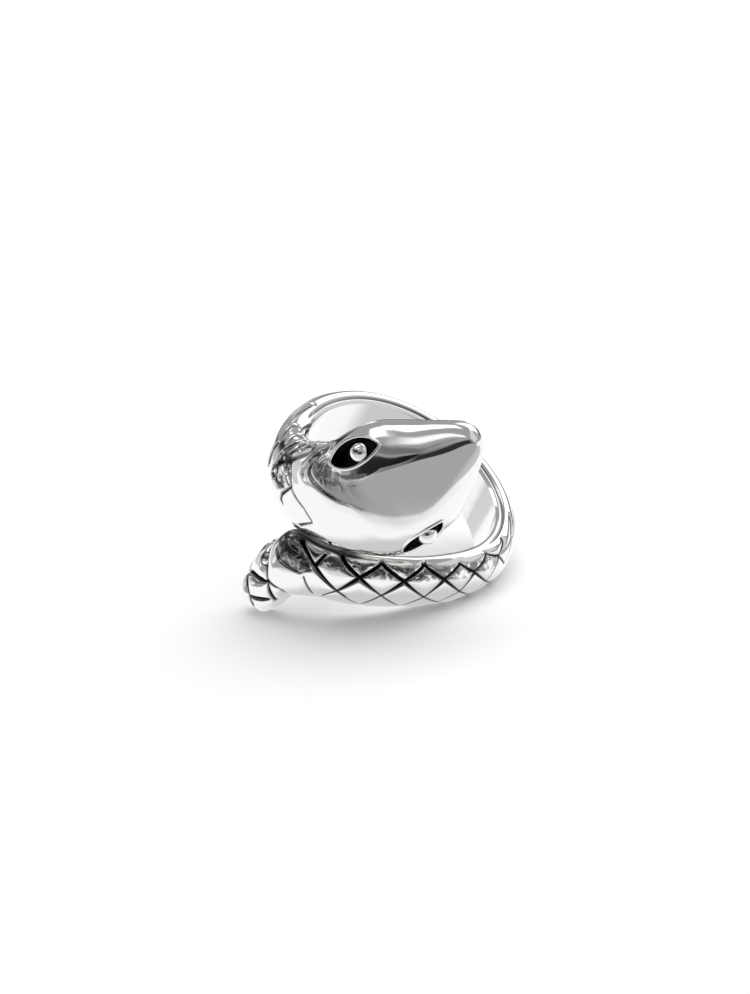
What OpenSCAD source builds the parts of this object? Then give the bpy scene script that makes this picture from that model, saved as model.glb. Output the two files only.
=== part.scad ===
// Snake wrap ring in cast silver, lying as it comes to rest on a table.
// The ring frame has the finger axis along Z, the front towards -Y, and z = 0 at the middle of the band.
// rest_pose() then leans the ring over and sets it down on z = 0.

/* [Finger hole] */
// Inner diameter of the ring
bore_d = 17.3; // [16.5:0.1:19]
// Length of the true round at its middle, where the band is
round_l = 3.4; // [3:0.1:3.6]
// Ease of the hole under the head and the tail
ease = 0.2; // [0.18:0.01:0.3]

/* [Band] */
// Width of the band along the finger
band_w = 4.8; // [4.5:0.1:5.2]
// Thickness of the band from the finger hole to its crown
band_t = 2.35; // [2:0.05:2.6]

/* [Head] */
// Turn of the head from along the band towards along the finger, in degrees
head_turn = 63.5; // [60:1:70]
// Height of the eye line over the middle of the band
eye_z = 9.2; // [8.8:0.1:9.6]
// Sideways place of the eye line
eye_x = 0; // [-0.5:0.1:0.5]
// Azimuth that the flat of the head faces, in degrees
head_face = 2; // [-4:1:6]

/* [Eyes] */
// Diameter of each bead
bead_d = 1.66; // [1.4:0.02:1.8]
// Length of the almond socket
socket_l = 5.3; // [5:0.1:5.8]
// Width of the almond socket
socket_w = 2.6; // [2.5:0.1:3]
// Depth of the socket at its middle
socket_depth = 1; // [0.8:0.05:1.05]
// Distance of each bead from the middle of the head
eye_q = 4.5; // [4.3:0.05:4.6]
// Distance of each socket from the middle of the head
socket_q = 4.65; // [4.6:0.05:4.9]
// How far each socket reaches back behind its bead
socket_back = 0.75; // [0:0.05:1]
// Angle that the eyes close towards the nose, in degrees
eye_toe = 10; // [8:1:20]
// Clearance under each bead
bead_gap = 0.13; // [0.12:0.01:0.2]

/* [Hollow under the head] */
// Metal left over the hollow
roof = 0.9; // [0.9:0.1:1.4]
// Metal left at its sides, where the sockets are
side_wall = 2.1; // [2.1:0.1:2.6]

/* [Rest pose] */
// Lean of the finger axis, in degrees
lean = 36.4; // [34:0.1:38]
// Azimuth on the ring that it leans towards, in degrees
lean_side = 71.3; // [68:0.1:74]
// Turn of the whole pose on the table, in degrees
heading = -36; // [-90:1:90]

/* [Hidden] */

bore_r = bore_d / 2;
half_w = band_w / 2;
// Section points and rings between two stations
SIDES = 28;
STEPS = 4;
HOLLOW_SIDES = 20;
// Where the ring frame's origin stands, with the table at z = 0 and the ring's outline centred on it
SEAT = [1.64, 2.88, 7.31];
// Depth that the metal and the hollow reach below the finger hole before the hole is cut
SINK = 1;
HOLLOW_SINK = 3;
// Radius that wide sections curl to round the finger
WRAP_R = 13;
// Blend at the two ridges of the head
RIDGE_BLEND = 0.12;
// Table height that is clear of any dome
NO_TABLE = 9;
BELT = 0.9;
// Left half of the head as a share of the right half
HEAD_LEFT = 0.95;
// Half length of the cut for the finger
REACH = 25;

// Columns of a station
PHI = 0;
FACE = 1;
Z = 2;
TURN = 3;
LEFT = 4;
RIGHT = 5;
TOP = 6;
BELT_H = 7;
TABLE = 8;
ROUND = 9;

// Tail and elbow: azimuth, height, turn of travel, half width to the left and right of travel, crown height
tail_rows = [
    [-39.5, -10.6, 74, 0.4, 0.4, 1.3],
    [-39.4, -10.4, 74, 1.15, 1.1, 1.8],
    [-39, -9.95, 74, 1.8, 1.55, 2.1],
    [-38, -9.1, 72, 2.2, 1.9, 2.3],
    [-36, -8, 68, 2.55, 2.1, 2.4],
    [-33, -6.8, 61, 2.9, 2, 2.55],
    [-29.2, -5.7, 50, 3, 1.9, 2.8],
    [-24.8, -4.75, 38, 3.5, 2.05, 2.85],
    [-19.5, -3.85, 30, 3, 2.25, 2.65],
];

// Band from the front strand round the back to the neck: azimuth, height, turn of travel, lower edge's trim.
// The trim leaves two feet, at about 50 and 95 degrees, that the ring lies on.
band_rows = [
    [-13, -3, 26, 0],
    [0, -2.2, 25, 0],
    [15, -1.2, 22, 0],
    [30, -0.45, 16, 0],
    [50, 0.15, 8, 0],
    [75, 0.15, 0, 0.6],
    [105, -0.2, 0, -0.2],
    [135, -0.3, 0, -0.1],
    [165, -0.15, 0, 0],
    [195, 0.2, 0, 0],
    [220, 0.4, 0, 0],
    [245, 0.4, 0, 0],
    [268, 0.35, 1, 0],
];

// Neck: azimuth, azimuth that it faces, height, turn, half width to the left and right, crown height
neck_rows = [
    [286, 286, 0.6, 5, 2.8, 2.6, 2.5],
    [300, 300, 1.1, 13, 3.3, 3.05, 2.75],
    [313, 315, 1.9, 25, 3.7, 3.6, 3.2],
    [325, 330, 3, 39, 4.2, 4.2, 3.7],
    [337, 344, 4.2, 52, 4.8, 5.1, 4.2],
];

// Head: place along its axis from the eye line, half width, crown height, belt height, table height,
// roundness of the dome, angle still short of the full turn
head_rows = [
    [-4, 5.7, 4.6, 1.3, 5.5, 2, 4],
    [-2.7, 5.9, 5.1, 1.4, 5, 1.9, 1],
    [-1.3, 5.95, 5.4, 1.4, 4.85, 1.75, 0],
    [0, 5.85, 5.65, 1.4, 4.6, 1.6, 0],
    [1.4, 5.5, 5.4, 1.4, 4.4, 1.55, 0],
    [2.8, 4.75, 5, 1.35, 4.1, 1.55, 0],
    [4.2, 3.9, 4.5, 1.25, 3.7, 1.55, 0],
    [5.6, 3.05, 3.7, 1.1, 3.2, 1.55, 0],
    [6.8, 2.25, 2.95, 1, 2.7, 1.6, 0],
    [7.6, 1.6, 2.5, 0.9, 2.35, 1.7, 0],
    [8.15, 0.95, 2.1, 0.9, 2.1, 1.9, 0],
    [8.35, 0.3, 1.6, 0.9, 2, 2, 0],
];

function tail_station(r) = [r[0], r[0], r[1], r[2], r[3], r[4], r[5], BELT, NO_TABLE, 2];
function band_station(r) = [r[0], r[0], r[1], r[2], half_w, half_w - r[3], band_t, BELT, NO_TABLE, 2];
function neck_station(r) = [r[0], r[1], r[2], r[3], r[4], r[5], r[6], BELT + (r[6] - band_t) / 5,
    NO_TABLE - r[6], 2];
function head_station(r) = let (
    across = eye_x + r[0] * cos(head_turn) - bore_r * sin(head_face),
    phi = head_face + atan(across / cos(head_face) / bore_r)
) [360 + phi, 360 + head_face - 2 * r[6], eye_z + r[0] * sin(head_turn), head_turn - r[6],
    HEAD_LEFT * r[1], r[1], r[2], r[3], r[4], r[5]];

stations = concat(
    [for (r = tail_rows) tail_station(r)],
    [for (r = band_rows) band_station(r)],
    [for (r = neck_rows) neck_station(r)],
    [for (r = head_rows) head_station(r)]
);
LAST = len(stations) - 1;
HEAD_ROW = len(tail_rows) + len(band_rows) + len(neck_rows);
EYE_ROW = HEAD_ROW + 3;
// First and last station of the hollow
HOLLOW_FROM = HEAD_ROW - 3;
HOLLOW_TO = HEAD_ROW + 8;

// The station table at a fractional row, along a Catmull-Rom curve
function row(i) = i < 0 ? 2 * stations[0] - stations[1]
    : i > LAST ? 2 * stations[LAST] - stations[LAST - 1]
    : stations[i];
function at(s) = let (
    i = min(floor(s), LAST - 1),
    t = s - i,
    a = row(i - 1),
    b = row(i),
    c = row(i + 1),
    d = row(i + 2)
) (2 * b + (c - a) * t + (2 * a - 5 * b + 4 * c - d) * t * t + (3 * b - a - 3 * c + d) * t * t * t) / 2;

function outward(angle) = [sin(angle), -cos(angle), 0];
function sideways(angle) = [cos(angle), sin(angle), 0];

// Foot of the section: on the finger hole, or on its tangent plane where the section faces another way
function foot(st) = let (off = st[PHI] - st[FACE])
    bore_r * outward(st[FACE]) + bore_r * tan(off) * sideways(st[FACE]) + [0, 0, st[Z]];
function unit(v) = v / norm(v);
function travel(st) = cos(st[TURN]) * sideways(st[FACE]) + sin(st[TURN]) * [0, 0, 1];
function across(st) = cos(st[TURN]) * [0, 0, 1] - sin(st[TURN]) * sideways(st[FACE]);

function soft_min(a, b, k) = min(a, b) - k * ln(1 + exp(-abs(a - b) / k));

// Height of the upper surface at a place across the section
function dome(st, q) = let (w = q > 0 ? st[LEFT] : st[RIGHT], u = min(abs(q) / w, 1), n = st[ROUND])
    st[BELT_H] + (st[TOP] - st[BELT_H]) * pow(1 - pow(u, n), 1 / n);
function crown(st, q) = soft_min(dome(st, q), st[TABLE], RIDGE_BLEND);

// Depth of the lower half of a section, more where the belt is high and less towards the two tips
function depth(st, sink) = (3 * st[BELT_H] - 2 * BELT + sink) * min(1, st[LEFT] / 1.8);

function section(st, sides, sink) = [
    for (k = [0:sides - 1])
        let (
            t = 360 * (k + 0.5) / sides,
            q = cos(t) * (cos(t) > 0 ? st[LEFT] : st[RIGHT]),
            h = sin(t) > 0 ? crown(st, q) : st[BELT_H] + depth(st, sink) * sin(t)
        ) [q, h]
];

function place(st, q, h) = let (
    curl = pow(q * sin(st[TURN]), 2) / (2 * WRAP_R)
) foot(st) + q * across(st) + (h - curl) * outward(st[FACE]);

// Solid through a list of stations
module sweep(list, sides, sink) {
    rings = len(list);
    points = [for (st = list) each [for (p = section(st, sides, sink)) place(st, p[0], p[1])]];
    walls = [
        for (i = [0:rings - 2], k = [0:sides - 1])
            let (a = i * sides + k, b = i * sides + (k + 1) % sides)
            each [[a, b + sides, b], [a, a + sides, b + sides]]
    ];
    first = [for (k = [0:sides - 1]) k];
    last = [for (k = [sides - 1:-1:0]) (rings - 1) * sides + k];
    polyhedron(points, concat(walls, [first, last]));
}

module metal() {
    sweep([for (i = [0:LAST * STEPS]) at(i / STEPS)], SIDES, SINK);
}

// The same section less the walls, open towards the finger
function inset(st) = [st[PHI], st[FACE], st[Z], st[TURN], st[LEFT] - side_wall, st[RIGHT] - side_wall,
    st[TOP] - roof, st[BELT_H] - 0.6, st[TABLE] - roof, st[ROUND]];

module hollow() {
    sweep([for (s = [HOLLOW_FROM:0.5:HOLLOW_TO]) inset(at(s))], HOLLOW_SIDES, HOLLOW_SINK);
}

module rest_pose() {
    translate(SEAT)
        rotate([0, 0, heading])
            rotate([0, lean, 0])
                rotate([0, 0, 90 - lean_side])
                    children();
}

// Frame of an eye: its centre on the skin, the way the socket points, across it and outward
function eye_frame(side, off) = let (
    st = at(EYE_ROW - 0.2),
    q = side * off,
    c = place(st, q, crown(st, q)),
    b = unit(place(st, q + 0.4, crown(st, q + 0.4)) - place(st, q - 0.4, crown(st, q - 0.4))),
    t = travel(st),
    n = cross(t, b),
    ahead = t * cos(eye_toe) - side * b * sin(eye_toe)
) [c, ahead, cross(n, ahead), n];

module at_eye(side, off) {
    f = eye_frame(side, off);
    multmatrix([for (r = [0:2]) [f[1][r], f[2][r], f[3][r], f[0][r]]]) children();
}

module socket() {
    a = socket_l / 2;
    b = socket_w / 2;
    r = (a * a + b * b) / (2 * b);
    translate([-socket_back, 0, -socket_depth])
        intersection() {
            translate([0, r - b, 0]) cylinder(r = r, h = 3, $fn = 96);
            translate([0, b - r, 0]) cylinder(r = r, h = 3, $fn = 96);
        }
}

module bead(side) {
    color("silver") rest_pose() at_eye(side, eye_q) translate([0, 0, bead_d / 2 - socket_depth + bead_gap])
        sphere(d = bead_d, $fn = 32);
}

// Half outline of the finger hole, round at the middle and eased by a short cone towards both ends
module finger_hole() {
    wide = bore_r + ease;
    mid = round_l / 2;
    rotate_extrude($fn = 96)
        polygon([
            [0, -REACH], [wide, -REACH], [wide, -mid - 1], [bore_r, -mid],
            [bore_r, mid], [wide, mid + 1], [wide, REACH], [0, REACH],
        ]);
}

module snake_ring() {
    color("silver")
        rest_pose()
            difference() {
                metal();
                hollow();
                finger_hole();
                for (side = [-1, 1]) at_eye(side, socket_q) socket();
            }
}

module eye_left() {
    bead(1);
}

module eye_right() {
    bead(-1);
}

snake_ring();
eye_left();
eye_right();
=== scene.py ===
"""Looks of the snake wrap ring: the carved silver, the beads, the table, the light and the camera.

Lengths are in millimetres until mesh_object() and the camera turn them into metres. The ring's frame has the
finger axis along Z and the front towards -Y, and rest() turns it into the table's frame. A place on the snake is
a row of the sweep, counted from the tail's tip, and a distance across it in mm.
"""

import bpy
import numpy as np
from mathutils import Matrix, Vector
from mathutils.bvhtree import BVHTree
from mathutils.kdtree import KDTree


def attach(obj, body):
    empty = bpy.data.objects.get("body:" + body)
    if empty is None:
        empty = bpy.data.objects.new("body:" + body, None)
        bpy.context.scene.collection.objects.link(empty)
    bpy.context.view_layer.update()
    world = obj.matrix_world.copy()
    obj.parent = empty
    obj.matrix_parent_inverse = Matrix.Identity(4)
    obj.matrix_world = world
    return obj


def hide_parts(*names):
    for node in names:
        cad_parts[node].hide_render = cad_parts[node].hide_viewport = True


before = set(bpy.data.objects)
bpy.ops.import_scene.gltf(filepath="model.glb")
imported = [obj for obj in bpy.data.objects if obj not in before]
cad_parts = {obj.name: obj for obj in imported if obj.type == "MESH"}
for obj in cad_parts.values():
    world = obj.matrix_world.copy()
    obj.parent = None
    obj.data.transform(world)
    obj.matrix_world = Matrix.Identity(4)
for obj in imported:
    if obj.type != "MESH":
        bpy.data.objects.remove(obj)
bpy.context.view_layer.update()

MM = 0.001
UP = np.array([0.0, 0.0, 1.0])

# ---------------------------------------------------------------- sizes shared with the CAD source
BORE_R = 8.65
HALF_W = 2.4
BAND_T = 2.35
HEAD_TURN = 63.5
HEAD_FACE = 2.0
HEAD_LEFT = 0.95
EYE_Z = 9.2
EYE_Q = 4.5
EYE_TOE = 10.0
EYE_BACK_ROWS = 0.2
BEAD_R = 0.83
BEAD_GAP = 0.13
SOCKET_Q = 4.65
SOCKET_L = 5.3
SOCKET_W = 2.6
SOCKET_BACK = 0.75
SOCKET_DEPTH = 1.0
SOCKET_CUT = 3.0
ROOF = 0.9
SIDE_WALL = 2.1
HOLLOW_DROP = 0.6
HOLLOW_SINK = 3.0
LEAN = 36.4
LEAN_SIDE = 71.3
HEADING = -36.0
SEAT = np.array([1.64, 2.88, 7.31])
SINK = 1.0
THIN_HALF_W = 1.8
WRAP_R = 13.0
RIDGE_BLEND = 0.12
NO_TABLE = 9.0
BELT = 0.9

# Columns of a station
PHI, FACE, Z, TURN, LEFT, RIGHT, TOP, BELT_H, TABLE, ROUND = range(10)

# azimuth, height, turn, half width to the left and right, crown height
TAIL_ROWS = (
    (-39.5, -10.6, 74, 0.4, 0.4, 1.3),
    (-39.4, -10.4, 74, 1.15, 1.1, 1.8),
    (-39, -9.95, 74, 1.8, 1.55, 2.1),
    (-38, -9.1, 72, 2.2, 1.9, 2.3),
    (-36, -8, 68, 2.55, 2.1, 2.4),
    (-33, -6.8, 61, 2.9, 2, 2.55),
    (-29.2, -5.7, 50, 3, 1.9, 2.8),
    (-24.8, -4.75, 38, 3.5, 2.05, 2.85),
    (-19.5, -3.85, 30, 3, 2.25, 2.65),
)

# azimuth, height, turn, trim of the lower edge
BAND_ROWS = (
    (-13, -3, 26, 0),
    (0, -2.2, 25, 0),
    (15, -1.2, 22, 0),
    (30, -0.45, 16, 0),
    (50, 0.15, 8, 0),
    (75, 0.15, 0, 0.6),
    (105, -0.2, 0, -0.2),
    (135, -0.3, 0, -0.1),
    (165, -0.15, 0, 0),
    (195, 0.2, 0, 0),
    (220, 0.4, 0, 0),
    (245, 0.4, 0, 0),
    (268, 0.35, 1, 0),
)

# azimuth, azimuth it faces, height, turn, half width to the left and right, crown height
NECK_ROWS = (
    (286, 286, 0.6, 5, 2.8, 2.6, 2.5),
    (300, 300, 1.1, 13, 3.3, 3.05, 2.75),
    (313, 315, 1.9, 25, 3.7, 3.6, 3.2),
    (325, 330, 3, 39, 4.2, 4.2, 3.7),
    (337, 344, 4.2, 52, 4.8, 5.1, 4.2),
)

# place along the head's axis, half width, crown height, belt height, table height, roundness, angle short of the turn
HEAD_ROWS = (
    (-4, 5.7, 4.6, 1.3, 5.5, 2, 4),
    (-2.7, 5.9, 5.1, 1.4, 5, 1.9, 1),
    (-1.3, 5.95, 5.4, 1.4, 4.85, 1.75, 0),
    (0, 5.85, 5.65, 1.4, 4.6, 1.6, 0),
    (1.4, 5.5, 5.4, 1.4, 4.4, 1.55, 0),
    (2.8, 4.75, 5, 1.35, 4.1, 1.55, 0),
    (4.2, 3.9, 4.5, 1.25, 3.7, 1.55, 0),
    (5.6, 3.05, 3.7, 1.1, 3.2, 1.55, 0),
    (6.8, 2.25, 2.95, 1, 2.7, 1.6, 0),
    (7.6, 1.6, 2.5, 0.9, 2.35, 1.7, 0),
    (8.15, 0.95, 2.1, 0.9, 2.1, 1.9, 0),
    (8.35, 0.3, 1.6, 0.9, 2, 2, 0),
)
HEAD_ROW = len(TAIL_ROWS) + len(BAND_ROWS) + len(NECK_ROWS)
EYE_ROW = HEAD_ROW + 3 - EYE_BACK_ROWS
HOLLOW_FROM, HOLLOW_TO, HOLLOW_STEP = HEAD_ROW - 3, HEAD_ROW + 8, 0.25


# ---------------------------------------------------------------- the sweep
def deg(a):
    return np.radians(a)


def build_stations():
    rows = []
    for r in TAIL_ROWS:
        rows.append((r[0], r[0], r[1], r[2], r[3], r[4], r[5], BELT, NO_TABLE, 2))
    for r in BAND_ROWS:
        rows.append((r[0], r[0], r[1], r[2], HALF_W, HALF_W - r[3], BAND_T, BELT, NO_TABLE, 2))
    for r in NECK_ROWS:
        rows.append((r[0], r[1], r[2], r[3], r[4], r[5], r[6], BELT + (r[6] - BAND_T) / 5, NO_TABLE - r[6], 2))
    for r in HEAD_ROWS:
        across = r[0] * np.cos(deg(HEAD_TURN)) - BORE_R * np.sin(deg(HEAD_FACE))
        phi = HEAD_FACE + np.degrees(np.arctan(across / np.cos(deg(HEAD_FACE)) / BORE_R))
        rows.append((360 + phi, 360 + HEAD_FACE - 2 * r[6], EYE_Z + r[0] * np.sin(deg(HEAD_TURN)),
                     HEAD_TURN - r[6], HEAD_LEFT * r[1], r[1], r[2], r[3], r[4], r[5]))
    return np.array(rows, float)


STATIONS = build_stations()
LAST = len(STATIONS) - 1
PADDED = np.vstack([2 * STATIONS[0] - STATIONS[1], STATIONS, 2 * STATIONS[-1] - STATIONS[-2]])


def at(s):
    """Stations at fractional rows, along the same Catmull-Rom curve as the CAD source."""
    s = np.atleast_1d(np.asarray(s, float))
    i = np.minimum(np.floor(s), LAST - 1).astype(int)
    t = (s - i)[:, None]
    a, b, c, d = (PADDED[i + k] for k in range(4))
    return (2 * b + (c - a) * t + (2 * a - 5 * b + 4 * c - d) * t**2 + (3 * b - a - 3 * c + d) * t**3) / 2


def outward(angle):
    a = deg(angle)
    return np.stack([np.sin(a), -np.cos(a), 0 * a], -1)


def sideways(angle):
    a = deg(angle)
    return np.stack([np.cos(a), np.sin(a), 0 * a], -1)


def across_dir(st):
    t = deg(st[..., TURN])[..., None]
    return np.cos(t) * UP - np.sin(t) * sideways(st[..., FACE])


def travel_dir(st):
    t = deg(st[..., TURN])[..., None]
    return np.cos(t) * sideways(st[..., FACE]) + np.sin(t) * UP


def crown(st, q):
    """Height of the outer skin over the finger's cylinder, at a distance q across."""
    w = np.where(q > 0, st[..., LEFT], st[..., RIGHT])
    u = np.minimum(np.abs(q) / w, 1)
    n = st[..., ROUND]
    dome = st[..., BELT_H] + (st[..., TOP] - st[..., BELT_H]) * (1 - u**n) ** (1 / n)
    table = st[..., TABLE]
    return np.minimum(dome, table) - RIDGE_BLEND * np.log1p(np.exp(-np.abs(dome - table) / RIDGE_BLEND))


def place(st, q, h):
    """Point of the ring's frame at a distance q across a station and a height h over the finger's cylinder."""
    off = deg(st[..., PHI] - st[..., FACE])[..., None]
    foot = BORE_R * outward(st[..., FACE]) + BORE_R * np.tan(off) * sideways(st[..., FACE])
    foot = foot + st[..., Z][..., None] * UP
    curl = (q * np.sin(deg(st[..., TURN]))) ** 2 / (2 * WRAP_R)
    return foot + q[..., None] * across_dir(st) + (h - curl)[..., None] * outward(st[..., FACE])


def skin(row, q):
    """Points of the smooth outer skin."""
    st = at(row)
    q = np.atleast_1d(np.asarray(q, float))
    return place(st, q, crown(st, q))


def section_grid(st, angles, sink):
    """Points of every station's closed section, with the place across each one."""
    st = st[:, None, :]
    t = np.asarray(angles)[None, :]
    q = np.cos(t) * np.where(np.cos(t) > 0, st[..., LEFT], st[..., RIGHT])
    depth = (3 * st[..., BELT_H] - 2 * BELT + sink) * np.minimum(1, st[..., LEFT] / THIN_HALF_W)
    h = np.where(np.sin(t) > 0, crown(st, q), st[..., BELT_H] + depth * np.sin(t))
    return place(np.broadcast_to(st, q.shape + (10,)), q, h), q


def rot_y(a):
    a = deg(a)
    return np.array([[np.cos(a), 0, np.sin(a)], [0, 1, 0], [-np.sin(a), 0, np.cos(a)]])


def rot_z(a):
    a = deg(a)
    return np.array([[np.cos(a), -np.sin(a), 0], [np.sin(a), np.cos(a), 0], [0, 0, 1]])


TILT = rot_z(HEADING) @ rot_y(LEAN) @ rot_z(90 - LEAN_SIDE)


def rest(points):
    """Points of the ring's frame as it lies on the table."""
    return points @ TILT.T + SEAT


# ---------------------------------------------------------------- mesh helpers
def mesh_object(name, points, faces):
    """Object from points of the ring's frame, with its faces turned outwards."""
    p = rest(points) * MM
    fans = np.array([(f[0], f[k], f[k + 1]) for f in faces for k in range(1, len(f) - 1)])
    a, b, c = p[fans[:, 0]], p[fans[:, 1]], p[fans[:, 2]]
    if np.einsum("ij,ij->i", a, np.cross(b, c)).sum() < 0:
        faces = [f[::-1] for f in faces]
    mesh = bpy.data.meshes.new(name)
    mesh.from_pydata(p.tolist(), [], faces)
    mesh.validate()
    obj = bpy.data.objects.new(name, mesh)
    bpy.context.scene.collection.objects.link(obj)
    return obj


def shade_smooth(obj):
    obj.data.polygons.foreach_set("use_smooth", [True] * len(obj.data.polygons))


def tube_faces(rings, sides):
    """Quads of a tube of closed rings, with a cap at either end as the last two faces."""
    faces = []
    for i in range(rings - 1):
        for k in range(sides):
            a, b = i * sides + k, i * sides + (k + 1) % sides
            faces.append((a, a + sides, b + sides, b))
    faces.append(tuple(range(sides)))
    faces.append(tuple(range(rings * sides - 1, (rings - 1) * sides - 1, -1)))
    return faces


def prism(name, points, height, base):
    """Closed prism over a flat outline in the frame base = (origin, x, y, z)."""
    o, x, y, z = base
    low = [o + p[0] * x + p[1] * y for p in points]
    high = [v + height * z for v in low]
    n = len(points)
    faces = [tuple(range(n - 1, -1, -1)), tuple(range(n, 2 * n))]
    faces += [(i, (i + 1) % n, n + (i + 1) % n, n + i) for i in range(n)]
    return mesh_object(name, np.array(low + high), faces)


def cut(obj, cutter):
    """Takes the cutter's volume out of an object, for good."""
    mod = obj.modifiers.new("cut", "BOOLEAN")
    mod.operation = "DIFFERENCE"
    mod.solver = "MANIFOLD"
    mod.object = cutter
    dg = bpy.context.evaluated_depsgraph_get()
    mesh = bpy.data.meshes.new_from_object(obj.evaluated_get(dg))
    obj.modifiers.clear()
    old = obj.data
    obj.data = mesh
    bpy.data.meshes.remove(old)
    bpy.data.objects.remove(cutter)


def smooth(x):
    x = np.clip(x, 0, 1)
    return x * x * (3 - 2 * x)


def window(x, lo, hi, soft):
    """One between lo and hi and zero outside, with soft ends."""
    return smooth((x - lo) / soft + 0.5) * smooth((hi - x) / soft + 0.5)


def patch(along, across, region):
    """Strength of a patch of the skin at places of it."""
    return region[6] * (window(along, *region[:3]) * window(across, *region[3:6]))


# ---------------------------------------------------------------- strokes of the carving
# Each stroke is a line of places (row, across), with the groove's half width in mm at each of them.
# The front strand: crossings of the lattice at its top rim, its middle and its lower side
TOP_NODES = ((9.84, 2.35), (11.05, 2.35), (12.23, 2.4), (13.05, 2.3), (13.75, 2.38), (14.38, 2.4))
MID_NODES = ((10.46, 1.05), (11.7, 1.15), (12.66, 1.3), (13.36, 1.5), (14.05, 1.9))
LOW_NODES = ((9.78, -0.75), (11.06, -0.48), (12.26, -0.5), (13.1, -0.3), (13.78, -0.1), (14.3, 0.6))
LOW_HALF_ROWS = 0.6
BOTTOM_Q = -2.0
# Half width of the first crossing, what each further one is thinner by, and the fine half widths at the low side
THICK_FIRST, THICK_STEP = 0.27, 0.035
LOW_FINE, FINE, FINER = 0.07, 0.06, 0.045
FRONT_END_STROKES = (
    ((7.9, 2.9, 0.3), (8.5, 1.9, 0.22), (9.05, 0.85, 0.2), (9.8, -0.75, 0.1), (10.05, -1.15, 0.06)),
    ((9.3, 2.05, 0.16), (9.02, 1.0, 0.2)),
    ((8.45, -0.1, 0.06), (8.75, -1.9, 0.05)),
    ((15.1, 2.35, 0.07), (14.7, 2.1, 0.08), (14.3, 0.6, 0.06)),
)


def front_strokes():
    """Diamond lattice of the front strand, thinner from scale to scale towards the right."""
    out = list(FRONT_END_STROKES)
    crossings = zip(TOP_NODES, TOP_NODES[1:], MID_NODES, LOW_NODES, LOW_NODES[1:])
    for k, (top, after, mid, low, last) in enumerate(crossings):
        thick = THICK_FIRST - THICK_STEP * k
        out.append(((*top, 0.8 * thick), (*mid, 0.75 * thick), (*last, FINE)))
        out.append(((*after, 0.6 * thick), (*mid, 0.7 * thick), (*low, LOW_FINE)))
        for side in (-1, 1):
            out.append(((*low, FINE), (low[0] + side * LOW_HALF_ROWS, BOTTOM_Q, FINER)))
    return out


TAIL_STROKES = (
    ((5.7, 2.9, 0.1), (5.62, 1.0, 0.12), (5.3, -0.3, 0.1), (4.85, -1.2, 0.18), (4.5, -1.95, 0.14)),
    ((3.42, 1.68, 0.14), (3.96, 1.2, 0.24), (4.56, 0.26, 0.3), (5.1, -0.23, 0.16), (5.4, -0.2, 0.08)),
    ((3.4, 1.7, 0.08), (2.78, -0.1, 0.08), (2.25, -0.9, 0.16), (1.45, -1.2, 0.12)),
    ((2.7, -0.3, 0.06), (3.35, -1.0, 0.16), (3.76, -1.35, 0.2), (4.2, -1.65, 0.12)),
    ((5.4, -0.25, 0.05), (5.74, -0.85, 0.12), (6.1, -1.4, 0.1), (6.0, -1.9, 0.05)),
    ((3.4, 1.7, 0.1), (2.6, 2.0, 0.12), (1.8, 1.6, 0.08)),
    ((4.9, 2.9, 0.08), (4.3, 2.6, 0.08), (3.4, 1.7, 0.08)),
)
# row, across, radius of the dent in the tail
PIT = (5.55, 1.75, 0.5)
PIT_DEPTH = 0.35

NECK_STROKES = (
    ((20.4, 2.3, 0.1), (20.84, 2.1, 0.14), (21.3, 1.9, 0.16), (22.2, 1.6, 0.16), (22.3, 0.8, 0.14),
     (22.6, -0.2, 0.08)),
    ((22.2, 1.65, 0.12), (21.8, 2.1, 0.16), (21.55, 2.45, 0.14), (21.6, 2.65, 0.1)),
    ((22.8, 2.5, 0.12), (22.6, 2.7, 0.14), (22.5, 3.1, 0.12)),
    ((23.15, 0.5, 0.16), (23.2, 1.5, 0.18), (23.35, 2.85, 0.16), (23.6, 3.7, 0.1)),
    ((23.4, 1.1, 0.22), (23.85, 2.05, 0.3), (24.28, 2.5, 0.3), (24.65, 3.1, 0.2), (25.3, 3.9, 0.1)),
    ((23.84, 2.1, 0.1), (23.96, 3.2, 0.12), (24.46, 3.85, 0.1)),
    ((24.5, 3.3, 0.08), (25.0, 4.0, 0.12), (25.8, 4.7, 0.08)),
    ((24.2, 1.9, 0.16), (24.32, 2.45, 0.2)),
    ((23.4, -0.2, 0.2), (23.9, -0.3, 0.2)),
    ((24.1, 1.5, 0.2), (24.6, 0.75, 0.18)),
    ((23.9, 0.75, 0.12), (23.9, -0.2, 0.14)),
    ((24.25, 1.95, 0.1), (24.55, 1.25, 0.1)),
)
PLATE_STROKES = (
    ((24.1, -1.2, 0.16), (24.16, -0.7, 0.18), (24.7, 0.6, 0.12)),
    ((24.7, 0.45, 0.05), (25.26, -0.6, 0.06), (25.42, -1.5, 0.07), (25.4, -1.75, 0.06), (24.78, -2.75, 0.09)),
    ((24.1, -1.2, 0.14), (24.2, -1.55, 0.06)),
)
# Raised border of the head where it grows out of the neck, and the sunk edge of the flat top beside it
COLLAR = ((28.4, 5.75), (27.2, 5.6), (26.3, 4.7), (25.7, 3.6), (25.3, 2.75), (25.2, 2.2), (25.5, 1.5))
SUNK_EDGE = ((27.3, 5.3), (26.5, 4.8), (25.95, 3.8), (25.8, 3.1), (25.95, 2.6), (26.4, 2.2), (27.0, 1.65),
             (27.8, 1.2), (28.4, 0.4), (29.0, -0.5))
TOP_EDGE_STROKES = (
    ((25.75, 2.8, 0.12), (26.2, 2.4, 0.12), (26.9, 1.75, 0.11), (27.75, 1.35, 0.1), (28.3, 0.7, 0.09)),
)
HEAD_SEED = (30.0, 2.0)
BROW = ((27.2, 3.9), (28.4, 3.35), (29.5, 3.0), (30.8, 2.75))
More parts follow.
